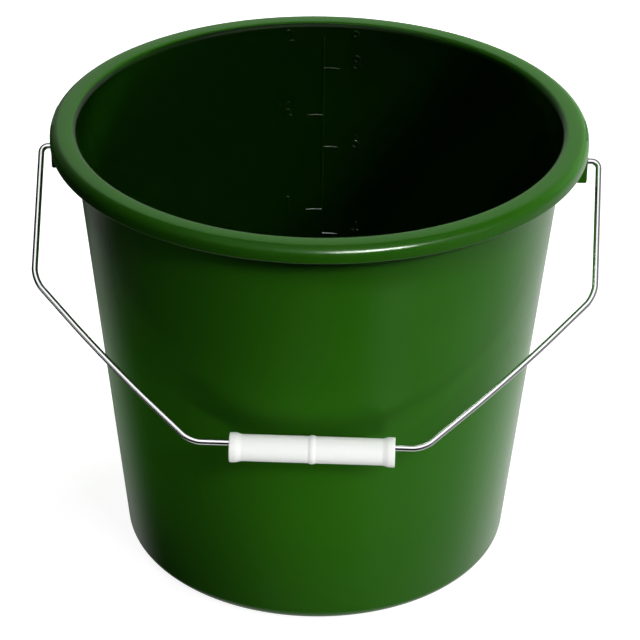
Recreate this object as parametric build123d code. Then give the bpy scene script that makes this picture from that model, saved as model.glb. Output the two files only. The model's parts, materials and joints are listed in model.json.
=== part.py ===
"""A moulded bucket with a wire bail and a loose tube grip.

Millimetres, +Z up. The origin is on the bucket's axis, in the plane that it stands on. The ears
are on X. The bail hangs down in front, towards -Y, with its grip against the wall.
"""

import os
from math import asin, atan, cos, degrees, hypot, sin

from build123d import *

# Bucket wall
bucket_height = 239.0
mouth_radius = 123.4  # inside of the wall at the top
wall = 2.3
flare = 23.4  # how much wider the wall is at the top than at the base

# Base
base_corner_radius = 6.6
standing_ring_width = 11.0  # from the wall line in to the step
base_step = 3.0  # height of the raised middle of the base
base_thickness = 2.2
step_softening = 1.0

# Turned-over rim
rim_overhang = 11.3  # how far the rim stands out from the wall
rim_thickness = 2.0
rim_edge_radius = 4.5
lip_height = 8.2
lip_edge_radius = 0.8
mouth_edge_radius = 3.5

# Wire
wire_diameter = 3.2
pivot_clearance = 0.3  # between the wire and the hole in the ear

# Ears
pivot_below_lip = 10.4
ear_plate = 2.2  # its outer face carries the lip's face on downwards
ear_cheek = 2.0
ear_web = 5.0  # material left under the hole
ear_edge_radius = 1.2
hook_room = 1.0  # free space round the hook as it turns inside the ear

# Bail
arm_gap = 4.2  # between the rim's edge and the arm
end_bend_radius = 3.6
hook_length = 8.0
hook_play = 0.3  # between the ear's plate and the start of the hook's bend
arm_lean = 1.75  # each arm leans in by this much down to its shoulder
shoulder_drop = 73.6
shoulder_radius = 17.0
bow = 2.4  # how far the sloping run stands out at its middle corner
bow_radius = 700.0
reach_past_rim = 19.1  # lets the bail swing over the rim
grip_bend_radius = 14.0
grip_play = 16.6  # straight wire past each end of a centred grip

# Grip
grip_length = 81.5
grip_diameter = 13.4
grip_wall = 2.4
collar_height = 0.75
collar_length = 3.3
collar_taper = 2.7
collar_edge_radius = 0.6
bead_height = 0.5
bead_width = 3.6
grip_clearance = 0.3  # between grip and wire, and between grip and bucket
grip_slide = 2.8  # the loose grip has slid this far towards +X

# Sizes that follow
wire_radius = wire_diameter / 2
top_radius = mouth_radius + wall
base_radius = top_radius - flare
rim_radius = top_radius + rim_overhang
lean = atan(flare / bucket_height)
pivot_height = bucket_height - lip_height - pivot_below_lip
hole_radius = wire_radius + pivot_clearance
ear_back = rim_radius - ear_plate
pocket_half = hypot(hook_length, wire_radius) + hook_room
ear_half = pocket_half + ear_cheek
ear_bottom = pivot_height - hole_radius - ear_web
arm_x = rim_radius + arm_gap + wire_radius
hook_x = ear_back - hook_play - end_bend_radius
bail_reach = rim_radius + reach_past_rim
bore_radius = grip_diameter / 2 - grip_wall
grip_reach = bail_reach + bore_radius - wire_radius - grip_clearance
bead_radius = grip_diameter / 2 + bead_height


def outer_radius(height):
    """Radius of the wall's outer face."""
    return base_radius + height * flare / bucket_height


def rest_angle():
    """Angle of the hanging bail from straight down, with the grip's bead just off the wall."""
    grip_to_wall = bead_radius + grip_clearance
    axis_to_wall = outer_radius(pivot_height) * cos(lean)
    return asin((axis_to_wall + grip_to_wall) / grip_reach) - lean


hang = rest_angle()


def in_bail_plane(across, reach):
    """A point of the hanging bail: across is along X, reach is its distance from the pivots."""
    return Vector(across, -reach * sin(hang), pivot_height - reach * cos(hang))


def shell_section():
    """Half section of the moulding, as corners in (radius, height) with their roundings."""
    under_rim = bucket_height - rim_thickness
    lip_bottom = bucket_height - lip_height
    lip_inside = rim_radius - rim_thickness
    step_out = base_radius - standing_ring_width
    step_in = step_out - base_step
    step_shift = base_thickness * (2**0.5 - 1)
    lip_rounding = min(lip_edge_radius, 0.45 * rim_thickness)
    corners = [
        ((0, base_step), 0),
        ((step_in, base_step), step_softening),
        ((step_out, 0), step_softening),
        ((base_radius, 0), base_corner_radius),
        ((outer_radius(under_rim), under_rim), rim_thickness),
        ((lip_inside, under_rim), rim_edge_radius - rim_thickness),
        ((lip_inside, lip_bottom), lip_rounding),
        ((rim_radius, lip_bottom), lip_rounding),
        ((rim_radius, bucket_height), rim_edge_radius),
        ((mouth_radius, bucket_height), mouth_edge_radius),
        ((outer_radius(base_thickness) - wall, base_thickness), base_corner_radius - wall),
        ((step_out + step_shift, base_thickness), step_softening),
        ((step_in + step_shift, base_step + base_thickness), step_softening),
        ((0, base_step + base_thickness), 0),
    ]
    outline = Polyline(*[place for place, _ in corners], close=True)
    section = make_face(outline)
    for (radius, height), rounding in corners:
        if rounding:
            corner = section.vertices().sort_by_distance((radius, height, 0))[0]
            section = fillet(corner, rounding)
    return Plane.XZ * section


def mid_wall_cone():
    """The space inside the middle of the wall, used to trim what is joined to the outside."""
    half_wall = wall / 2
    outline = Polyline(
        (0, 0),
        (outer_radius(0) - half_wall, 0),
        (outer_radius(bucket_height) - half_wall, bucket_height),
        (0, bucket_height),
        close=True,
    )
    return revolve(Plane.XZ * make_face(outline), Axis.Z)


def lip_surroundings():
    """The space from the middle of the lip outwards, above the lip's lower edge."""
    lip_middle = rim_radius - rim_thickness / 2
    above = bucket_height - lip_height + rim_thickness / 2
    reach = rim_radius + arm_gap
    ring = Cylinder(reach, lip_height) - Cylinder(lip_middle, lip_height)
    return Pos(0, 0, above + lip_height / 2) * ring


def ear():
    """One hollow lug under the rim, open below, with a hole through its outer plate."""
    ear_top = bucket_height - rim_thickness / 2
    under_rim = bucket_height - rim_thickness
    root = mouth_radius - flare
    block = Pos(root, 0, ear_bottom) * Box(
        rim_radius - root, 2 * ear_half, ear_top - ear_bottom, align=(Align.MIN, Align.CENTER, Align.MIN)
    )
    block &= Cylinder(rim_radius, 2 * bucket_height)
    outer_edges = block.faces().sort_by(Axis.X)[-1].edges()
    block = fillet(outer_edges.sort_by(Axis.Z)[:-1], ear_edge_radius)
    pocket = Pos(root, 0, 0) * Box(
        ear_back - root, 2 * pocket_half, under_rim, align=(Align.MIN, Align.CENTER, Align.MIN)
    )
    hole = Pos(ear_back, 0, pivot_height) * Rot(0, 90, 0) * Cylinder(hole_radius, 4 * ear_plate)
    return block - pocket - hole - mid_wall_cone() - lip_surroundings()


def bucket_shell():
    """The whole moulding: wall, base, rim and the two ears."""
    right_ear = ear()
    left_ear = mirror(right_ear, about=Plane.YZ)
    return revolve(shell_section(), Axis.Z) + right_ear + left_ear


def wire_bail():
    """One wire, from the hook behind one ear to the hook behind the other."""
    shoulder = Vector(arm_x - arm_lean, shoulder_drop)
    low_bend = Vector(grip_length / 2 + grip_play, bail_reach)
    run = low_bend - shoulder
    outward = Vector(run.Y, -run.X).normalized()
    bowed_middle = (shoulder + low_bend) / 2 + outward * bow
    right_half = [
        ((hook_x, 0), end_bend_radius),
        ((arm_x, 0), end_bend_radius),
        ((shoulder.X, shoulder.Y), shoulder_radius),
        ((bowed_middle.X, bowed_middle.Y), bow_radius),
        ((low_bend.X, low_bend.Y), grip_bend_radius),
    ]
    left_half = [((-across, reach), bend) for (across, reach), bend in right_half]
    bends = left_half + right_half[::-1]
    places = [(-hook_x, hook_length)] + [place for place, _ in bends] + [(hook_x, hook_length)]
    path = FilletPolyline(
        [in_bail_plane(*place) for place in places], radius=[bend for _, bend in bends]
    )
    return sweep(Plane(origin=path @ 0, z_dir=path % 0) * Circle(wire_radius), path=path)


def hand_grip():
    """A tube with flared collars and a bead round its middle, hung on the straight wire."""
    half = grip_length / 2
    body = grip_diameter / 2
    collar = body + collar_height
    bead_curve = ((bead_width / 2) ** 2 + bead_height**2) / (2 * bead_height)
    with BuildSketch() as section:
        with BuildLine():
            Polyline(
                (0, bead_radius),
                (0, bore_radius),
                (half, bore_radius),
                (half, collar),
                (half - collar_length, collar),
                (half - collar_length - collar_taper, body),
                (bead_width / 2, body),
            )
            RadiusArc((bead_width / 2, body), (0, bead_radius), -bead_curve)
        make_face()
        ends = section.vertices().group_by(Axis.X)[-1]
        fillet(ends, collar_edge_radius)
        mirror(about=Plane.YZ)
    tube = revolve(section.sketch, Axis.X)
    return Pos(in_bail_plane(grip_slide, grip_reach)) * tube


os.makedirs("parts", exist_ok=True)
export_step(bucket_shell(), "parts/bucket_shell.step")
export_step(wire_bail(), "parts/wire_bail.step")
export_step(hand_grip(), "parts/hand_grip.step")

print("pivot height", round(pivot_height, 3))
print("bail hangs at", round(degrees(hang), 3), "degrees from straight down")
print("grip axis", [round(value, 3) for value in in_bail_plane(grip_slide, grip_reach)])
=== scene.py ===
# %% [markdown]
# # A green bucket with a wire bail
# The real bucket is three pieces: one plastic moulding, one bent wire and one loose tube for the
# hand. The imported model is loaded as a fixed frame first, and every piece made here is built to its
# sizes and in its place.

# %% Load the frame
import json
from math import atan, cos, pi, radians, sin, tan

import bpy
from mathutils import Matrix, Quaternion, Vector


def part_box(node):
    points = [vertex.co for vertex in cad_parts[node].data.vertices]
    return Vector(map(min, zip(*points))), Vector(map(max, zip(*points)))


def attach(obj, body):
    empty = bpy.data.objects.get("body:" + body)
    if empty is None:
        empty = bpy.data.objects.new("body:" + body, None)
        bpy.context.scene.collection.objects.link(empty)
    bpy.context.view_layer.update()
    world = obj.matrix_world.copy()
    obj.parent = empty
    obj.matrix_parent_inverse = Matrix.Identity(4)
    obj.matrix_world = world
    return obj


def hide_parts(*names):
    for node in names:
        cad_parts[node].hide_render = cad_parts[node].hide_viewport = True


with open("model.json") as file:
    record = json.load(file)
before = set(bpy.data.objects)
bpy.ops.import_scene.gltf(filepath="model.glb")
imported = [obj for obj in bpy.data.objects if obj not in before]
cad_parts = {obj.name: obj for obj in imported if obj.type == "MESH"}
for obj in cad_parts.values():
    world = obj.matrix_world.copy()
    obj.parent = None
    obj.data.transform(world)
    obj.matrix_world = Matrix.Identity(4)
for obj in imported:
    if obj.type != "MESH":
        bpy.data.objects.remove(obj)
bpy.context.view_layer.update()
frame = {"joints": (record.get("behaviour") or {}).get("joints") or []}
MM = 0.001

# %% [markdown]
# ## The camera
# The photograph looks down into the bucket with a long lens. Its angle can be found by matching the
# ellipses of rim and base, which is how these values were measured. The ears lie a little turned,
# and the picture leans by less than a degree, so the camera has a small azimuth and a small roll.

# %% Camera
view_azimuth = radians(2.1)
view_elevation = radians(30.07)
camera_distance = 1.371
camera_roll = radians(0.71)
focal_length = 145.0  # millimetres, on the usual 36 mm sensor
aim = Vector((1.35, 1.1, 121.3)) * MM


def direction(azimuth, elevation):
    """Unit vector from the bucket towards a compass angle, 0 being the front, and a height angle."""
    level = cos(elevation)
    return Vector((sin(azimuth) * level, -cos(azimuth) * level, sin(elevation)))


towards_camera = direction(view_azimuth, view_elevation)
bpy.ops.object.camera_add(location=aim + towards_camera * camera_distance)
camera = bpy.context.object
camera.rotation_mode = "QUATERNION"
roll = Quaternion((0, 0, 1), camera_roll)
camera.rotation_quaternion = towards_camera.to_track_quat("Z", "Y") @ roll
camera.data.lens = focal_length
bpy.context.scene.camera = camera
print("camera at", [round(value, 3) for value in camera.location])

# %% [markdown]
# ## Drawing a section
# A round moulding is drawn as half of its cross-section and then spun. A section can be drawn by
# hand with Extrude: one vertex is pulled from corner to corner, and each corner is rounded with a
# vertex bevel. The bevel's offset runs along the edges, so a radius is first turned into an offset.

# %% Tools for drawing and spinning
merge_distance = 0.001 * MM
smooth_angle = radians(35)  # edges that are sharper than this stay sharp
arc_profile = 0.5  # makes a bevel a part of a circle


def draw_chain(name, corners, closed=False):
    """Draws straight edges from corner to corner by extruding one vertex."""
    bpy.ops.mesh.primitive_plane_add(size=MM)
    piece = bpy.context.object
    piece.name = name
    bpy.ops.object.mode_set(mode="EDIT")
    bpy.ops.mesh.select_mode(type="VERT")
    bpy.ops.mesh.select_all(action="SELECT")
    bpy.ops.mesh.merge(type="CENTER")
    bpy.ops.transform.translate(value=corners[0])
    for here, there in zip(corners, corners[1:]):
        bpy.ops.mesh.extrude_vertices_move(TRANSFORM_OT_translate={"value": there - here})
    if closed:
        select_vertices(piece, [corners[0], corners[-1]])
        bpy.ops.mesh.edge_face_add()
    bpy.ops.object.mode_set(mode="OBJECT")
    return piece


def select_vertices(piece, places):
    """Selects the vertex that is nearest to each place, and nothing else, in edit mode."""
    bpy.ops.object.mode_set(mode="EDIT")
    bpy.ops.mesh.select_all(action="DESELECT")
    bpy.ops.object.mode_set(mode="OBJECT")
    for place in places:
        nearest = min(piece.data.vertices, key=lambda vertex: (vertex.co - place).length)
        nearest.select = True
    bpy.ops.object.mode_set(mode="EDIT")


def round_corners(piece, corners, radii, segments):
    """Rounds the corners of a chain that have a radius."""
    count = len(corners)
    for index, radius in enumerate(radii):
        if not radius:
            continue
        here = corners[index]
        before = corners[index - 1] - here
        after = corners[(index + 1) % count] - here
        select_vertices(piece, [here])
        bpy.ops.mesh.bevel(
            offset_type="OFFSET",
            offset=radius / tan(before.angle(after) / 2),
            segments=segments,
            profile=arc_profile,
            affect="VERTICES",
        )
        bpy.ops.object.mode_set(mode="OBJECT")


def weld():
    """Merges vertices that lie on each other in the active object, and turns its faces out."""
    bpy.ops.object.mode_set(mode="EDIT")
    bpy.ops.mesh.select_all(action="SELECT")
    bpy.ops.mesh.remove_doubles(threshold=merge_distance)
    bpy.ops.mesh.normals_make_consistent(inside=False)
    bpy.ops.object.mode_set(mode="OBJECT")


def spin_round(axis, centre, steps):
    """Spins the active chain all the way round, and closes the seam and the poles."""
    bpy.ops.object.mode_set(mode="EDIT")
    bpy.ops.mesh.select_all(action="SELECT")
    bpy.ops.mesh.spin(steps=steps, angle=2 * pi, center=centre, axis=axis)
    bpy.ops.object.mode_set(mode="OBJECT")
    weld()


def activate(piece):
    """Makes one object the only selected one, for the operators that follow."""
    bpy.ops.object.select_all(action="DESELECT")
    piece.select_set(True)
    bpy.context.view_layer.objects.active = piece


def smooth(piece):
    """Shades a piece smoothly, and prints how large it is."""
    activate(piece)
    bpy.ops.object.shade_smooth_by_angle(angle=smooth_angle)
    columns = list(zip(*(vertex.co for vertex in piece.data.vertices)))
    low = [round(min(column) / MM, 1) for column in columns]
    high = [round(max(column) / MM, 1) for column in columns]
    print(piece.name, len(piece.data.polygons), "faces, from", low, "to", high, "mm")


# %% [markdown]
# ## The moulding
# The wall, the stepped base and the turned-over rim come out of one mould with an even thickness,
# and every corner is rounded. The rim goes out flat, turns over and hangs down as a lip. In the
# middle of the base is the small stub where the plastic was let into the mould.

# %% Section of the moulding
bucket_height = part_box("bucket_shell")[1].z
rim_radius = 137.0 * MM
rim_overhang = 11.3 * MM
rim_thickness = 2.0 * MM
rim_edge_radius = 4.5 * MM
lip_height = 8.2 * MM
lip_edge_radius = 0.8 * MM
wall = 2.3 * MM
flare = 23.4 * MM
base_corner_radius = 6.6 * MM
standing_ring_width = 11.0 * MM
base_step = 3.0 * MM
base_thickness = 2.2 * MM
soft_edge = 1.0 * MM
mouth_edge_radius = 3.5 * MM
gate_radius = 2.2 * MM
gate_height = 0.9 * MM
gate_edge_radius = 0.3 * MM
ring_below_ears = 205.0 * MM  # an extra ring in the mesh, under the ears

top_radius = rim_radius - rim_overhang
base_radius = top_radius - flare
mouth_radius = top_radius - wall


def outer_radius(height):
    """Radius of the wall's outer face."""
    return base_radius + height * flare / bucket_height


def inner_radius(height):
    """Radius of the wall's inner face."""
    return outer_radius(height) - wall


under_rim = bucket_height - rim_thickness
lip_bottom = bucket_height - lip_height
lip_inside = rim_radius - rim_thickness
step_out = base_radius - standing_ring_width
step_in = step_out - base_step
step_shift = base_thickness * (2**0.5 - 1)  # keeps the sloping step as thick as the base
floor_top = base_step + base_thickness
section = [
    (0, base_step - gate_height, 0),
    (gate_radius, base_step - gate_height, gate_edge_radius),
    (gate_radius, base_step, gate_edge_radius),
    (step_in, base_step, soft_edge),
    (step_out, 0, soft_edge),
    (base_radius, 0, base_corner_radius),
    (outer_radius(ring_below_ears), ring_below_ears, 0),
    (outer_radius(under_rim), under_rim, rim_thickness),
    (lip_inside, under_rim, rim_edge_radius - rim_thickness),
    (lip_inside, lip_bottom, lip_edge_radius),
    (rim_radius, lip_bottom, lip_edge_radius),
    (rim_radius, bucket_height, rim_edge_radius),
    (mouth_radius, bucket_height, mouth_edge_radius),
    (inner_radius(base_thickness), base_thickness, base_corner_radius - wall),
    (step_out + step_shift, base_thickness, soft_edge),
    (step_in + step_shift, floor_top, soft_edge),
    (0, floor_top, 0),
]
section_corners = [Vector((radius, 0, height)) for radius, height, _ in section]
section_radii = [rounding for _, _, rounding in section]
print("section with", len(section_corners), "corners")

# %% Spin the moulding
corner_segments = 8
moulding_steps = 256
moulding = draw_chain("bucket_moulding", section_corners)
round_corners(moulding, section_corners, section_radii, corner_segments)
spin_round(axis=(0, 0, 1), centre=(0, 0, 0), steps=moulding_steps)
print("moulding spun in", moulding_steps, "steps,", len(moulding.data.polygons), "faces")

# %% [markdown]
# ## The ears
# Under the rim, on each side, the mould has a hollow lug that is open below. Its outer plate carries
# the lip's face on downwards and has a hole for the wire. A cube gives the block: its back is leaned
# to lie inside the wall, and its front is cut round by a stepped drum that is as wide as the rim and
# leaves out the lip. Its edges are then bevelled, a smaller cube and a cylinder are cut out of it, and
# it is united with the moulding, because on the real bucket they are one piece of plastic.

# %% Ear sizes
wire_radius = 1.6 * MM
pivot_clearance = 0.3 * MM  # between the wire and its hole
ear_plate = 2.2 * MM
ear_cheek = 2.0 * MM
ear_web = 5.0 * MM  # plastic left under the hole
pocket_half = 9.16 * MM
ear_edge_radius = 0.9 * MM
face_inset = 0.02 * MM  # keeps the ear's face just inside the lip's
root_share = 0.6  # how far into the wall the ear's back lies
spare = 10 * MM  # how far a cutting tool reaches past what it cuts

pivot_height = frame["joints"][0]["pos_m"][2]
hole_radius = wire_radius + pivot_clearance
ear_back = rim_radius - ear_plate
ear_half = pocket_half + ear_cheek
ear_bottom = pivot_height - hole_radius - ear_web
ear_top = bucket_height - rim_thickness / 2
ear_middle = (ear_bottom + ear_top) / 2
ear_radius = rim_radius - face_inset
ear_root = outer_radius(ear_bottom) - root_share * wall
ear_lean = outer_radius(ear_top) - outer_radius(ear_bottom)
print("ear from", round(ear_bottom / MM, 1), "to", round(ear_top / MM, 1), "mm")


# %% Tools for blocks and cutting
def add_block(name, low, high):
    """Adds a cube that fills the space between two corners, with its place in its mesh."""
    bpy.ops.mesh.primitive_cube_add(size=1, location=(low + high) / 2)
    block = bpy.context.object
    block.name = name
    block.scale = high - low
    bpy.ops.object.transform_apply(location=True, rotation=True, scale=True)
    return block


def join_by(operation, piece, tool):
    """Cuts a tool out of a piece or unites them, and removes the tool."""
    activate(piece)
    boolean = piece.modifiers.new("join", "BOOLEAN")
    boolean.operation = operation
    boolean.solver = "EXACT"
    boolean.object = tool
    bpy.ops.object.modifier_apply(modifier=boolean.name)
    bpy.data.objects.remove(tool)


def select_edges(piece, wanted):
    """Selects the edges that a test of their two ends picks out, in edit mode."""
    bpy.ops.object.mode_set(mode="EDIT")
    bpy.ops.mesh.select_mode(type="EDGE")
    bpy.ops.mesh.select_all(action="DESELECT")
    bpy.ops.object.mode_set(mode="OBJECT")
    for edge in piece.data.edges:
        ends = [piece.data.vertices[index].co for index in edge.vertices]
        edge.select = wanted(*ends)
    bpy.ops.object.mode_set(mode="EDIT")


# %% Model the right ear and its mirror image
touching = 0.01 * MM  # two places closer than this count as one
facet_depth = 0.05 * MM  # a facet of the drum lies less than this inside its circle
ear_edge_segments = 6
hole_sides = 48


def spin_drum():
    """A drum as wide as the rim below the lip's lower edge, and as wide as the lip's middle above."""
    step = lip_bottom + rim_thickness / 2
    inside_lip = rim_radius - rim_thickness / 2
    low = ear_bottom - spare
    high = bucket_height + spare
    outline = [
        (0, low),
        (ear_radius, low),
        (ear_radius, step),
        (inside_lip, step),
        (inside_lip, high),
        (0, high),
    ]
    drum = draw_chain("drum", [Vector((radius, 0, z)) for radius, z in outline])
    spin_round(axis=(0, 0, 1), centre=(0, 0, 0), steps=moulding_steps)
    return drum


def outer_edge(start, end):
    """Whether an edge of the ear's block bounds the outer plate below or at a side."""
    outside = min(start.xy.length, end.xy.length) > ear_radius - facet_depth
    low_down = max(start.z, end.z) < ear_bottom + touching
    at_side = max(abs(start.y), abs(end.y)) > ear_half - touching
    upright = abs(start.y - end.y) < touching
    under_lip = min(start.z, end.z) < ear_middle
    return outside and (low_down or (at_side and upright and under_lip))


def model_ear():
    """The right ear: a leaned, rounded and bevelled block with a pocket and a hole."""
    low = Vector((ear_root, -ear_half, ear_bottom))
    high = Vector((rim_radius + spare, ear_half, ear_top))
    ear = add_block("ear", low, high)
    select_vertices(ear, [Vector((ear_root, side * ear_half, ear_top)) for side in (-1, 1)])
    bpy.ops.transform.translate(value=(ear_lean, 0, 0))
    bpy.ops.object.mode_set(mode="OBJECT")
    join_by("INTERSECT", ear, spin_drum())
    select_edges(ear, outer_edge)
    bpy.ops.mesh.bevel(offset=ear_edge_radius, segments=ear_edge_segments, affect="EDGES")
    bpy.ops.object.mode_set(mode="OBJECT")
    pocket_low = Vector((ear_root - 2 * spare, -pocket_half, ear_bottom - spare))
    pocket_high = Vector((ear_back, pocket_half, under_rim))
    join_by("DIFFERENCE", ear, add_block("pocket", pocket_low, pocket_high))
    bpy.ops.mesh.primitive_cylinder_add(
        vertices=hole_sides,
        radius=hole_radius,
        depth=spare,
        location=(rim_radius, 0, pivot_height),
        rotation=(0, pi / 2, 0),
    )
    join_by("DIFFERENCE", ear, bpy.context.object)
    return ear


right_ear = model_ear()
print("ear with", len(right_ear.data.polygons), "faces")
activate(right_ear)
bpy.ops.object.duplicate()
left_ear = bpy.context.object
bpy.ops.transform.mirror(constraint_axis=(True, False, False))
bpy.ops.object.transform_apply(location=True, rotation=True, scale=True)
bpy.ops.object.mode_set(mode="EDIT")
bpy.ops.mesh.select_all(action="SELECT")
bpy.ops.mesh.normals_make_consistent(inside=False)
bpy.ops.object.mode_set(mode="OBJECT")
join_by("UNION", moulding, right_ear)
join_by("UNION", moulding, left_ear)
smooth(moulding)

# %% [markdown]
# ## The measuring scale
# Inside the back wall the mould has a thin upright rib with short ticks: litres to its right and
# gallons to its left, each with a plain number. They stand about half a millimetre proud.
# Each mark is modelled flat and then laid on the leaning wall by a matrix, sunk in a little.

# %% Places on the inner wall
scale_angle = radians(91.3)
wall_lean = atan(flare / bucket_height)
mark_proud = 0.45 * MM
mark_sunk = 0.5 * MM
mark_edge = 0.36 * MM
number_steps = 6  # along each curve of a number's outline


def on_wall(across, height):
    """Matrix of a place on the inner wall: X runs to the right, Y up the wall, Z off the wall."""
    radius = inner_radius(height)
    angle = scale_angle - across / radius
    outwards = Vector((cos(angle), sin(angle), 0))
    right = Vector((sin(angle), -cos(angle), 0))
    up = outwards * sin(wall_lean) + Vector((0, 0, cos(wall_lean)))
    turn = Matrix((right, up, right.cross(up))).transposed().to_4x4()
    return Matrix.Translation(outwards * radius + Vector((0, 0, height))) @ turn


def lay_on_wall(piece, across, height):
    """Moves a piece that was modelled flat at the origin to its place on the wall."""
    activate(piece)
    piece.matrix_world = on_wall(across, height)
    bpy.ops.object.transform_apply(location=True, rotation=True, scale=True)
    return piece


def model_bar(name, left, right, bottom, top):
    """A flat bar with softened upper edges, to be laid on the wall."""
    bar = add_block(name, Vector((left, bottom, -mark_sunk)), Vector((right, top, mark_proud)))
    select_edges(bar, lambda start, end: min(start.z, end.z) > mark_proud - touching)
    bpy.ops.mesh.bevel(offset=mark_edge, segments=1, affect="EDGES")
    bpy.ops.object.mode_set(mode="OBJECT")
    return bar


def model_number(text, height, side):
    """A raised number, standing at the origin on its foot, to be laid on the wall."""
    bpy.ops.object.text_add()
    letters = bpy.context.object
    letters.data.body = text
    letters.data.align_x = "LEFT" if side > 0 else "RIGHT"
    letters.data.resolution_u = number_steps
    bpy.context.view_layer.update()
    letters.data.size = height / letters.dimensions.y
    letters.data.extrude = (mark_proud + mark_sunk) / 2 - mark_edge
    letters.data.bevel_depth = mark_edge
    letters.data.bevel_resolution = 0
    bpy.ops.object.convert(target="MESH")
    number = bpy.context.object
    number.location.z = (mark_proud - mark_sunk) / 2
    bpy.ops.object.transform_apply(location=True, rotation=True, scale=True)
    return number


# %% Model the two scales
rib_width = 1.1 * MM
rib_foot = 45.0 * MM
rib_head = 231.5 * MM
tick_length = 8.9 * MM
tick_width = 1.3 * MM
digit_height = 8.4 * MM
number_distance = {1: 15.0 * MM, -1: 16.4 * MM}  # from the rib to the near end of a number
litre_heights = {"2": 60.0, "4": 114.5, "6": 166.9, "8": 213.1}  # in millimetres
gallon_heights = {"½": 67.5, "1": 129.1, "1½": 185.6}
full_height = 228.6 * MM  # the uppermost numbers have no tick
full_digit_height = 6.9 * MM


def join_pieces(name, pieces):
    """Joins several meshes to one object."""
    activate(pieces[0])
    for piece in pieces:
        piece.select_set(True)
    bpy.ops.object.join()
    pieces[0].name = name
    return pieces[0]


def model_scale(name, heights, full_number, side):
    """Ticks and numbers on one side of the rib. side is 1 for the right and -1 for the left."""
    marks = []
    for text, height in heights.items():
        tick = model_bar("tick", *sorted((0, side * tick_length)), -tick_width / 2, tick_width / 2)
        marks.append(lay_on_wall(tick, 0, height * MM))
        number = model_number(text, digit_height, side)
        marks.append(lay_on_wall(number, side * number_distance[side], height * MM))
    number = model_number(full_number, full_digit_height, side)
    marks.append(lay_on_wall(number, side * number_distance[side], full_height))
    return join_pieces(name, marks)


litre_scale = model_scale("litre_scale", litre_heights, "9", 1)
gallon_scale = model_scale("gallon_scale", gallon_heights, "2", -1)
half_rib = (rib_head - rib_foot) / 2 / cos(wall_lean)
rib = model_bar("scale_rib", -rib_width / 2, rib_width / 2, -half_rib, half_rib)
lay_on_wall(rib, 0, (rib_foot + rib_head) / 2)
scale_marks = (litre_scale, gallon_scale, rib)
for piece in scale_marks:
    smooth(piece)

# %% [markdown]
# ## The wire bail
# The bail is one length of drawn wire. Each end goes through an ear and is hooked back behind it,
# the arms run down to a shoulder, and two sloping runs lead to the straight middle that carries the
# grip. The bends are drawn as a chain with rounded corners, and a curve gives it its thickness.

# %% Places in the hanging bail
grip_low, grip_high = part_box("hand_grip")
grip_centre = (grip_low + grip_high) / 2
grip_sag = 2.4 * MM  # the loose grip hangs this much lower than its wire
pivot = Vector((0, 0, pivot_height))
grip_drop = grip_centre - pivot
grip_drop.x = 0
hang = grip_drop.normalized()
bail_reach = grip_drop.length - grip_sag


def in_bail(across, reach):
    """A point of the hanging bail: across is along X, reach is its distance from the pivots."""
    return pivot + Vector((across, 0, 0)) + hang * reach


print("bail reaches", round(bail_reach / MM, 1), "mm from its pivots")

# %% Bends of the bail
arm_offset = 5.8 * MM  # from the rim's edge to the middle of the arm
hook_play = 0.3 * MM  # between the ear's plate and the start of the hook's bend
hook_length = 8.0 * MM
end_bend_radius = 3.6 * MM
arm_lean = 1.75 * MM  # each arm leans in by this much down to its shoulder
shoulder_drop = 73.6 * MM
shoulder_radius = 17.0 * MM
bow = 2.4 * MM  # how far the sloping run stands out at its middle corner
bow_radius = 700.0 * MM
straight_half = 57.35 * MM  # half of the straight middle, up to the corners of its bends
grip_bend_radius = 14.0 * MM

arm_x = rim_radius + arm_offset
hook_x = ear_back - hook_play - end_bend_radius
shoulder = Vector((arm_x - arm_lean, shoulder_drop))
low_bend = Vector((straight_half, bail_reach))
run = low_bend - shoulder
bowed_middle = (shoulder + low_bend) / 2 + Vector((run.y, -run.x)).normalized() * bow
right_half = [
    (hook_x, 0, end_bend_radius),
    (arm_x, 0, end_bend_radius),
    (*shoulder, shoulder_radius),
    (*bowed_middle, bow_radius),
    (*low_bend, grip_bend_radius),
]
left_half = [(-across, reach, bend) for across, reach, bend in right_half]
bends = [(-hook_x, hook_length, 0), *left_half, *right_half[::-1], (hook_x, hook_length, 0)]
bail_corners = [in_bail(across, reach) for across, reach, _ in bends]
bail_radii = [bend for _, _, bend in bends]
print("bail with", sum(bend > 0 for bend in bail_radii), "bends")

# %% Bend the wire
bend_segments = 20
wire_roundness = 8  # steps in each half of the wire's section
bail = draw_chain("wire_bail_drawn", bail_corners)
round_corners(bail, bail_corners, bail_radii, bend_segments)
activate(bail)
bpy.ops.object.convert(target="CURVE")
bail.data.bevel_depth = wire_radius
bail.data.bevel_resolution = wire_roundness
bail.data.use_fill_caps = True
bpy.ops.object.convert(target="MESH")
bail = bpy.context.object
weld()
smooth(bail)

# %% [markdown]
# ## The grip
# The grip is a moulded tube that the wire runs through. It has a flared collar at each end and a
# narrow bead round its middle. Its closed section is drawn once and spun about the tube's own axis.

# %% Section of the grip
collar_rise = 0.75 * MM
collar_length = 3.3 * MM
collar_taper = 2.7 * MM
grip_wall = 2.4 * MM
grip_edge_radius = 0.6 * MM
taper_softening = 1.2 * MM
ring_past_taper = 1.5 * MM  # an extra ring in the mesh, past the taper
ring_past_bead = 0.4 * MM  # and one past the bead
bead_half = 1.8 * MM
bead_height = 0.5 * MM
bead_steps = 8

half_grip = (grip_high.x - grip_low.x) / 2
collar = (grip_high.z - grip_low.z) / 2
body = collar - collar_rise
bore = body - grip_wall
taper_foot = half_grip - collar_length - collar_taper
bead_curve = (bead_half**2 + bead_height**2) / (2 * bead_height)


def bead_points():
    """The arc over the bead, from its right foot to its left one."""
    points = []
    for step in range(bead_steps + 1):
        along = bead_half * (1 - 2 * step / bead_steps)
        rise = (bead_curve**2 - along**2) ** 0.5 - (bead_curve - bead_height)
        points.append((along, body + rise, 0))
    return points


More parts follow.
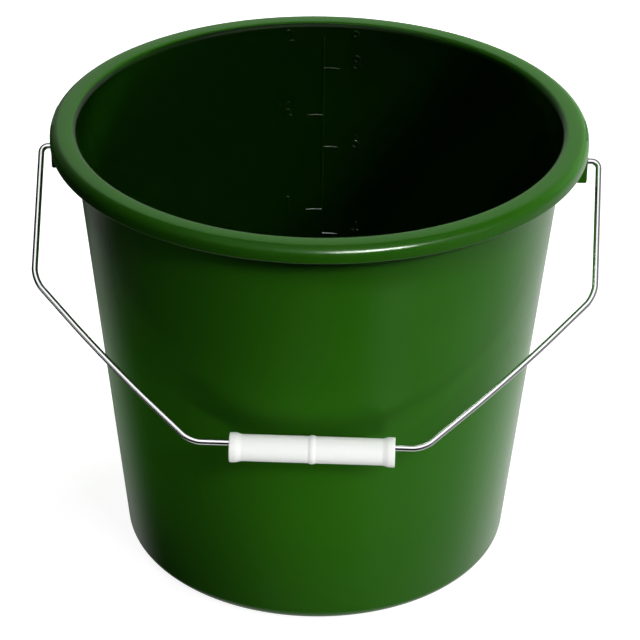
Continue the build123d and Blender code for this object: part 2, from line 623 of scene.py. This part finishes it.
right_end = [
    (half_grip, bore, grip_edge_radius),
    (half_grip, collar, grip_edge_radius),
    (half_grip - collar_length, collar, taper_softening),
    (taper_foot, body, taper_softening),
    (taper_foot - ring_past_taper, body, 0),
    (bead_half + ring_past_bead, body, 0),
]
left_end = [(-along, radius, rounding) for along, radius, rounding in right_end[::-1]]
grip_section = right_end + bead_points() + left_end
grip_corners = [grip_centre + Vector((along, 0, radius)) for along, radius, _ in grip_section]
grip_radii = [rounding for _, _, rounding in grip_section]
print("grip section with", len(grip_corners), "corners")

# %% Spin the grip
grip_segments = 6
grip_steps = 96
grip = draw_chain("grip_tube", grip_corners, closed=True)
round_corners(grip, grip_corners, grip_radii, grip_segments)
spin_round(axis=(1, 0, 0), centre=grip_centre, steps=grip_steps)
smooth(grip)

# %% [markdown]
# ## Finishes
# Three finishes are needed: satin green plastic, bright zinc and white plastic. What both plastics
# share, the faint skin that a mould leaves, is a node group with its own inputs, placed in each.


# %% Tools for node trees
def link_nodes(tree, source, target):
    """Joins an output socket to an input socket."""
    tree.links.new(source, target)


def add_node(tree, kind, **settings):
    """Adds a shader node and sets its properties."""
    node = tree.nodes.new(kind)
    for name, value in settings.items():
        setattr(node, name, value)
    return node


def math_node(tree, operation, first, second):
    """A Math node whose inputs are numbers or sockets."""
    node = add_node(tree, "ShaderNodeMath", operation=operation)
    for socket, value in zip(node.inputs, (first, second)):
        if isinstance(value, (int, float)):
            socket.default_value = value
        else:
            link_nodes(tree, value, socket)
    return node.outputs[0]


def ramp(tree, source, low, high, low_value, high_value, way="SMOOTHSTEP"):
    """Maps a range of a value to another range, softly unless another way is given."""
    node = add_node(tree, "ShaderNodeMapRange", interpolation_type=way)
    link_nodes(tree, source, node.inputs["Value"])
    names = ("From Min", "From Max", "To Min", "To Max")
    for name, value in zip(names, (low, high, low_value, high_value)):
        node.inputs[name].default_value = value
    return node.outputs["Result"]


def noise(tree, vector, scale, detail=2.0):
    """A Noise Texture's value."""
    node = add_node(tree, "ShaderNodeTexNoise")
    node.inputs["Scale"].default_value = scale
    node.inputs["Detail"].default_value = detail
    link_nodes(tree, vector, node.inputs["Vector"])
    return node.outputs["Fac"]


def mix_colours(tree, share, first, second):
    """Mixes two colours by a share."""
    node = add_node(tree, "ShaderNodeMix", data_type="RGBA")
    link_nodes(tree, share, node.inputs["Factor"])
    node.inputs["A"].default_value = (*first, 1)
    node.inputs["B"].default_value = (*second, 1)
    return node.outputs["Result"]


def new_material(name):
    """A material with its shader and its object coordinates."""
    material = bpy.data.materials.new(name)
    material.use_nodes = True
    tree = material.node_tree
    shader = tree.nodes["Principled BSDF"]
    coordinates = add_node(tree, "ShaderNodeTexCoord").outputs["Object"]
    return material, tree, shader, coordinates


# %% Node group for moulded skin
grain_scale = 1600  # noise cells in a metre
wave_scale = 28
rub_scale = 40


def make_mould_skin():
    """Fine grain and slow waviness of a moulded surface, and a mask of faint rubbed places."""
    group = bpy.data.node_groups.new("mould_skin", "ShaderNodeTree")
    sockets = group.interface
    sockets.new_socket("Vector", in_out="INPUT", socket_type="NodeSocketVector")
    sockets.new_socket("Height", in_out="OUTPUT", socket_type="NodeSocketFloat")
    sockets.new_socket("Waviness", in_out="OUTPUT", socket_type="NodeSocketFloat")
    sockets.new_socket("Rubbed", in_out="OUTPUT", socket_type="NodeSocketFloat")
    start = add_node(group, "NodeGroupInput").outputs["Vector"]
    end = add_node(group, "NodeGroupOutput")
    grain = noise(group, start, grain_scale, 3)
    wave = noise(group, start, wave_scale)
    rubbed = ramp(group, noise(group, start, rub_scale, 3), 0.4, 0.8, 0, 1)
    link_nodes(group, grain, end.inputs["Height"])
    link_nodes(group, wave, end.inputs["Waviness"])
    link_nodes(group, rubbed, end.inputs["Rubbed"])
    return group


mould_skin = make_mould_skin()


def place_skin(tree, coordinates):
    """Places the group in a material."""
    node = add_node(tree, "ShaderNodeGroup", node_tree=mould_skin)
    link_nodes(tree, coordinates, node.inputs["Vector"])
    return node


def add_bump(tree, shader, height, strength, distance):
    """Feeds a height to the shader's normal."""
    bump = add_node(tree, "ShaderNodeBump")
    bump.inputs["Strength"].default_value = strength
    bump.inputs["Distance"].default_value = distance
    link_nodes(tree, height, bump.inputs["Height"])
    link_nodes(tree, bump.outputs["Normal"], shader.inputs["Normal"])


print("group", mould_skin.name)

# %% Green plastic
deep_green = (0.0208, 0.122, 0.0034)
fresh_green = (0.0234, 0.131, 0.0042)
grain_depth = 0.05 * MM


def make_green_plastic():
    """Satin green polypropylene with a slow change of tone and a few pale rubbed places."""
    material, tree, shader, coordinates = new_material("green_polypropylene")
    skin = place_skin(tree, coordinates)
    green = mix_colours(tree, skin.outputs["Waviness"], deep_green, fresh_green)
    link_nodes(tree, green, shader.inputs["Base Color"])
    rough = ramp(tree, skin.outputs["Waviness"], 0.3, 0.7, 0.17, 0.21)
    rubbed = math_node(tree, "MULTIPLY", skin.outputs["Rubbed"], 0.05)
    link_nodes(tree, math_node(tree, "ADD", rough, rubbed), shader.inputs["Roughness"])
    add_bump(tree, shader, skin.outputs["Height"], 0.12, grain_depth)
    shader.inputs["IOR"].default_value = 1.49
    shader.inputs["Specular IOR Level"].default_value = 0.3
    return material


green_plastic = make_green_plastic()
print("finish", green_plastic.name)

# %% Bright zinc
dull_zinc = (0.70, 0.71, 0.71)
clean_zinc = (0.82, 0.83, 0.83)
cloud_scale = 220
drawn_scale = 2500  # the fine marks that drawing leaves on a wire
drawn_depth = 0.03 * MM


def make_bright_zinc():
    """Zinc-plated wire: bright metal with slightly duller cloudy places."""
    material, tree, shader, coordinates = new_material("bright_zinc")
    cloud = noise(tree, coordinates, cloud_scale, 3)
    zinc = mix_colours(tree, cloud, dull_zinc, clean_zinc)
    link_nodes(tree, zinc, shader.inputs["Base Color"])
    link_nodes(tree, ramp(tree, cloud, 0.3, 0.7, 0.16, 0.26), shader.inputs["Roughness"])
    add_bump(tree, shader, noise(tree, coordinates, drawn_scale), 0.03, drawn_depth)
    shader.inputs["Metallic"].default_value = 1.0
    return material


bright_zinc = make_bright_zinc()
print("finish", bright_zinc.name)

# %% White plastic
dim_white = (0.80, 0.815, 0.79)
clean_white = (0.86, 0.87, 0.85)


def make_white_plastic():
    """White polyethylene of the grip, a little uneven, with a soft gloss."""
    material, tree, shader, coordinates = new_material("white_polyethylene")
    skin = place_skin(tree, coordinates)
    white = mix_colours(tree, skin.outputs["Waviness"], dim_white, clean_white)
    link_nodes(tree, white, shader.inputs["Base Color"])
    rough = ramp(tree, skin.outputs["Waviness"], 0.3, 0.7, 0.34, 0.42)
    link_nodes(tree, rough, shader.inputs["Roughness"])
    add_bump(tree, shader, skin.outputs["Height"], 0.15, grain_depth)
    return material


white_plastic = make_white_plastic()
print("finish", white_plastic.name)

# %% [markdown]
# ## Dressing the pieces
# Each piece now gets its finish and the body that it moves with. The three large ones also take the
# place of a piece of the frame, while the marks of the scale are extra and only ride along.


# %% Dress the pieces
def dress(piece, material, body, node=None):
    """Gives a piece its finish in its slot and its body, and hides the frame's node that it stands for.
    """
    piece.data.materials.clear()
    piece.data.materials.append(material)
    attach(piece, body)
    if node:
        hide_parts(node)
    print(piece.name, "in", material.name, "on", body)


dress(moulding, green_plastic, "bucket", "bucket_shell")
for piece in scale_marks:
    dress(piece, green_plastic, "bucket")
dress(bail, bright_zinc, "bail", "wire_bail")
dress(grip, white_plastic, "grip", "hand_grip")

# %% [markdown]
# ## Floor
# The photograph has a pure white ground. White paper could be lit until it clips, but that light would
# also fall on the bucket. Here the floor glows white for the camera alone. Near the bucket the glow is
# a little weaker and the lamps add the rest, which keeps the shadow. The floor throws no light back
# up, so the shadow under the lip stays deep, and gloss looks past it into the world, where the sheen
# is drawn.

# %% Floor
floor_size = 8.0
floor_glow = 0.90
floor_grey = 0.30
shadow_reach = 0.35  # the glow is kept down this far from the bucket's axis
white_reach = 0.90  # and is full from here on
bpy.ops.mesh.primitive_plane_add(size=floor_size)
floor = bpy.context.object
floor.name = "studio_floor"


def make_floor_paper():
    """White paper that keeps shadows and throws no bounced light on the bucket."""
    material, tree, shader, coordinates = new_material("floor_paper")
    distance = add_node(tree, "ShaderNodeVectorMath", operation="LENGTH")
    link_nodes(tree, coordinates, distance.inputs[0])
    paper_glow = ramp(tree, distance.outputs["Value"], shadow_reach, white_reach, floor_glow, 1.0)
    path = add_node(tree, "ShaderNodeLightPath")
    direct = math_node(tree, "SUBTRACT", 1.0, path.outputs["Is Diffuse Ray"])
    link_nodes(tree, math_node(tree, "MULTIPLY", direct, floor_grey), shader.inputs["Base Color"])
    shader.inputs["Roughness"].default_value = 0.9
    shader.inputs["Specular IOR Level"].default_value = 0.0
    shader.inputs["Emission Color"].default_value = (1, 1, 1, 1)
    glow = math_node(tree, "MULTIPLY", path.outputs["Is Camera Ray"], paper_glow)
    link_nodes(tree, glow, shader.inputs["Emission Strength"])
    return material


floor.data.materials.append(make_floor_paper())
floor.visible_glossy = False
print("floor", floor.name, "glows", floor_glow)

# %% [markdown]
# ## Surroundings
# The world is white for the camera too. What the gloss mirrors is drawn with a few soft ramps over the
# direction: a pale backdrop that fades upwards, a softbox high in front, a grey ceiling, a pale right
# side, and the paper on the ground. The sheen on the real wall tells how bright that paper looks: pale
# behind and to the right, dim to the left, and dark in front. Each ramp runs over a part of the
# direction: aside is to the right, away is behind the bucket, high is up, and all go from -1 to 1.
# For matt surfaces the world is nearly dark, so that the lamps alone shape them.

# %% World
ambient = 0.008


def make_world():
    """White to the camera. Gloss sees a backdrop, a softbox, a ceiling, a pale side and the ground."""
    world = bpy.data.worlds.new("studio")
    world.use_nodes = True
    tree = world.node_tree
    background = tree.nodes["Background"]
    background.inputs["Color"].default_value = (1, 1, 1, 1)
    path = add_node(tree, "ShaderNodeLightPath")
    split = add_node(tree, "ShaderNodeSeparateXYZ")
    link_nodes(tree, add_node(tree, "ShaderNodeTexCoord").outputs["Generated"], split.inputs[0])
    aside, away, high = split.outputs

    def product(*shares):
        result = shares[0]
        for share in shares[1:]:
            result = math_node(tree, "MULTIPLY", result, share)
        return result

    def brightest(*values):
        result = values[0]
        for value in values[1:]:
            result = math_node(tree, "MAXIMUM", result, value)
        return result

    backdrop = product(
        ramp(tree, away, 0.2, 0.6, 0, 1),
        ramp(tree, high, 0.40, 0.75, 0.52, 0.08),
        ramp(tree, aside, -0.7, -0.15, 0.12, 1.0),
    )
    softbox = product(
        ramp(tree, away, -0.4, -0.1, 0.7, 0.0),
        ramp(tree, high, 0.45, 0.55, 0, 1),
        ramp(tree, aside, -0.6, 0.1, 0.3, 1.0),
    )
    ceiling = ramp(tree, high, 0.80, 0.97, 0.0, 0.3)
    right_side = ramp(tree, aside, 0.5, 0.85, 0.0, 0.2)
    above = product(
        brightest(backdrop, softbox, ceiling, right_side),
        ramp(tree, high, -0.06, 0.0, 0, 1),
    )
    compass = math_node(tree, "ARCTAN2", aside, away)  # 0 is straight behind, more is to the right
    dim_left = product(
        ramp(tree, compass, radians(-68), radians(-30), 0, 0.25),
        ramp(tree, compass, radians(0), radians(14), 1, 0),
        ramp(tree, high, -0.53, -0.46, 1, 0),
    )
    bright_right = ramp(tree, compass, radians(40), radians(92), 0.40, 0)
    fading_front = ramp(tree, compass, radians(90), radians(168), 0.36, 0, "LINEAR")
    pale_right = product(
        math_node(tree, "ADD", bright_right, fading_front),
        ramp(tree, compass, radians(-20), radians(10), 0, 1),
    )
    underfoot = ramp(tree, high, -0.95, -0.78, 0.7, 0)
    ground = product(brightest(dim_left, pale_right, underfoot), ramp(tree, high, -0.06, 0.0, 1, 0))
    room = brightest(above, ground)
    mirrored = brightest(path.outputs["Is Glossy Ray"], path.outputs["Is Transmission Ray"])
    seen = brightest(path.outputs["Is Camera Ray"], product(mirrored, room), ambient)
    link_nodes(tree, seen, background.inputs["Strength"])
    bpy.context.scene.world = world
    return world


print("world", make_world().name)

# %% [markdown]
# ## Lamps
# The shadow under the lip shows where the main light stood: a softbox to the right of the camera and a
# little above it. A second lamp further to the right carries the light round the wall, and two more,
# behind and to the left, carry it on round the back. A low one behind lights the top of the rim alone,
# and a weak one reaches the left half of the inside. The bounce lamp stands for light that comes up
# from the floor in front, in which the wire and the grip leave a soft dark band above them. Powers are
# given as levels: at level 1 a white card would render white.

# %% Lamps round the bucket
bucket_middle = Vector((0, 0, bucket_height / 2))
lamp_distance = 1.5
level_one = 22.0  # watts that give level 1 at the lamps' distance


def add_lamp(name, azimuth, elevation, width, height, level, in_gloss=False):
    """A soft lamp that faces the bucket. Angles are in degrees, as seen from the camera."""
    towards = direction(view_azimuth + radians(azimuth), radians(elevation))
    bpy.ops.object.light_add(type="AREA", location=bucket_middle + towards * lamp_distance)
    lamp = bpy.context.object
    lamp.name = name
    lamp.rotation_mode = "QUATERNION"
    lamp.rotation_quaternion = towards.to_track_quat("Z", "Y")
    lamp.data.shape = "RECTANGLE"
    lamp.data.size = width
    lamp.data.size_y = height
    lamp.data.energy = level * level_one
    lamp.visible_camera = False
    lamp.visible_glossy = in_gloss
    return lamp


key_lamp = add_lamp("key_lamp", 27, 37, 0.40, 0.22, 0.32)
right_lamp = add_lamp("right_lamp", 60, 28, 0.5, 0.5, 0.36)
back_lamp = add_lamp("back_lamp", 150, 17, 0.5, 0.3, 2.0)
rear_lamp = add_lamp("rear_lamp", 132, 12, 0.5, 0.4, 0.70)
left_lamp = add_lamp("left_lamp", -148, 7, 0.4, 0.3, 0.60)
inside_lamp = add_lamp("inside_lamp", 60, 40, 0.3, 0.3, 0.064)
bounce_lamp = add_lamp("bounce_lamp", 38, -35, 0.4, 0.4, 0.28)
wall_lamps = [key_lamp, right_lamp, rear_lamp, left_lamp]
print("lamps", [lamp.name for lamp in (*wall_lamps, back_lamp, inside_lamp, bounce_lamp)])

# %% [markdown]
# ## Cards on the floor
# White cards beside the bucket throw a little light up at the wall, most of all at the left, where the
# edge of the wall is pale. Each is a small lamp with a narrow spread, so that it lights the wall and
# not the underside of the lip.

# %% Cards
card_reach = 0.30
card_lift = 0.02
card_depth = 0.06
card_spread = radians(60)
wall_reach = 0.11  # from the axis to the wall, where the cards light it
card_aim = Vector((0, 0, 0.09))
card_level_one = level_one * ((card_reach - wall_reach) / lamp_distance) ** 2


def add_card(name, azimuth, width, level):
    """A small card on the floor, at an angle round the bucket in degrees, turned up at the wall."""
    outwards = direction(radians(azimuth), 0)
    place = outwards * card_reach + Vector((0, 0, card_lift))
    target = outwards * wall_reach + card_aim
    bpy.ops.object.light_add(type="AREA", location=place)
    card = bpy.context.object
    card.name = name
    card.rotation_mode = "QUATERNION"
    card.rotation_quaternion = (target - place).to_track_quat("-Z", "Y")
    card.data.shape = "RECTANGLE"
    card.data.size = width
    card.data.size_y = card_depth
    card.data.spread = card_spread
    card.data.energy = level * card_level_one
    card.visible_camera = False
    card.visible_glossy = False
    return card


cards = [
    add_card("left_card", -102, 0.20, 0.29),
    add_card("front_card", 0, 0.08, 0.035),
    add_card("right_card", 75, 0.08, 0.07),
]
print("cards", [card.name for card in cards])

# %% [markdown]
# ## Lamps for single pieces
# Some pieces need a light that the others don't get, and light linking keeps it to them. The white grip
# has a large soft lamp. The wire mirrors a wide softbox from above and a dim panel from the left. The
# raised marks mirror a small glint, and the rib gets a little more light. The last lamp is mirrored in
# the rim as its long highlight. The satin wall shows no image of the wire and the grip, so these are
# left out of all gloss.


# %% Linked lamps
def link_lamp(lamp, pieces):
    """Lets a lamp light a few pieces only."""
    lit = bpy.data.collections.new("lit_by_" + lamp.name)
    for piece in pieces:
        lit.objects.link(piece)
    lamp.light_linking.receiver_collection = lit


grip_lamp = add_lamp("grip_lamp", -5, 36, 2.2, 2.2, 0.68)
link_lamp(grip_lamp, (grip,))
wire_lamp = add_lamp("wire_lamp", 0, 50, 2.6, 1.9, 0.70, in_gloss=True)
link_lamp(wire_lamp, (bail,))
side_lamp = add_lamp("side_lamp", -58, -2, 0.7, 0.5, 0.04, in_gloss=True)
link_lamp(side_lamp, (bail,))
glint_lamp = add_lamp("glint_lamp", 0, 71, 0.1, 0.1, 0.45, in_gloss=True)
link_lamp(glint_lamp, scale_marks)
rib_lamp = add_lamp("rib_lamp", 60, 40, 0.3, 0.3, 0.06)
link_lamp(rib_lamp, (rib,))
edge_lamp = add_lamp("edge_lamp", 23, 37, 0.66, 0.36, 1.8, in_gloss=True)
link_lamp(edge_lamp, (moulding,))
gloss_lamps = [wire_lamp, side_lamp, glint_lamp, edge_lamp]
for lamp in gloss_lamps:
    lamp.visible_diffuse = False
for piece in (bail, grip):
    piece.visible_glossy = False
print("linked", [lamp.name for lamp in (grip_lamp, rib_lamp, *gloss_lamps)])

# %% [markdown]
# ## Flags
# Flags are dark boards that only cast shadows. Inside, the bucket is nearly black in the photograph, so
# a round flag on the mouth keeps the large lamps out, and the lamps that are meant for the inside pass
# it. Light that comes up from the floor doesn't reach the lip, so a ring flag stops it there. A collar
# round the bucket, a little higher than the rim, keeps the low lamp behind off the wall, so that it
# lights the top of the rim alone. Light linking tells each lamp which boards it passes.

# %% Flags
flag_sides = 96
flag_lift = 0.5 * MM  # from the rim to the flag on the mouth
ring_height = 186.0 * MM
ring_inside = 150.0 * MM
ring_outside = 900.0 * MM
collar_flag_radius = 160.0 * MM
collar_flag_height = 241.0 * MM


def finish_flag(name):
    """Names the new board, and leaves it to cast shadows only."""
    flag = bpy.context.object
    flag.name = name
    flag.visible_camera = False
    flag.visible_glossy = False
    flag.visible_transmission = False
    flag.visible_diffuse = False
    return flag


def let_pass(lamps, boards):
    """Lets lamps shine through some boards, as if these were not there."""
    passed = bpy.data.collections.new("passed_by_" + lamps[0].name)
    for board in boards:
        passed.objects.link(board)
    for entry in passed.collection_objects:
        entry.light_linking.link_state = "EXCLUDE"
    for lamp in lamps:
        lamp.light_linking.blocker_collection = passed


bpy.ops.mesh.primitive_circle_add(
    vertices=flag_sides,
    radius=mouth_radius,
    fill_type="NGON",
    location=(0, 0, bucket_height + flag_lift),
)
mouth_flag = finish_flag("mouth_flag")
bpy.ops.mesh.primitive_circle_add(vertices=flag_sides, radius=ring_inside, location=(0, 0, ring_height))
ring_growth = ring_outside / ring_inside
bpy.ops.object.mode_set(mode="EDIT")
bpy.ops.mesh.select_all(action="SELECT")
bpy.ops.mesh.extrude_edges_move()
bpy.ops.transform.resize(value=(ring_growth, ring_growth, 1))
bpy.ops.object.mode_set(mode="OBJECT")
ring_flag = finish_flag("ring_flag")
bpy.ops.mesh.primitive_cylinder_add(
    vertices=flag_sides,
    radius=collar_flag_radius,
    depth=collar_flag_height,
    end_fill_type="NOTHING",
    location=(0, 0, collar_flag_height / 2),
)
collar_flag = finish_flag("collar_flag")
piece_lamps = [grip_lamp, wire_lamp, side_lamp, edge_lamp]
let_pass([inside_lamp, glint_lamp, rib_lamp], [mouth_flag, ring_flag, collar_flag])
let_pass([*wall_lamps, *piece_lamps, *cards], [ring_flag, collar_flag])
let_pass([back_lamp], [ring_flag])
let_pass([bounce_lamp], [floor, collar_flag])
print("flags", mouth_flag.name, ring_flag.name, collar_flag.name)

# %% [markdown]
# ## Finish
# The plain view shows each colour as it was written.

# %% Finish
bpy.context.scene.view_settings.view_transform = "Standard"
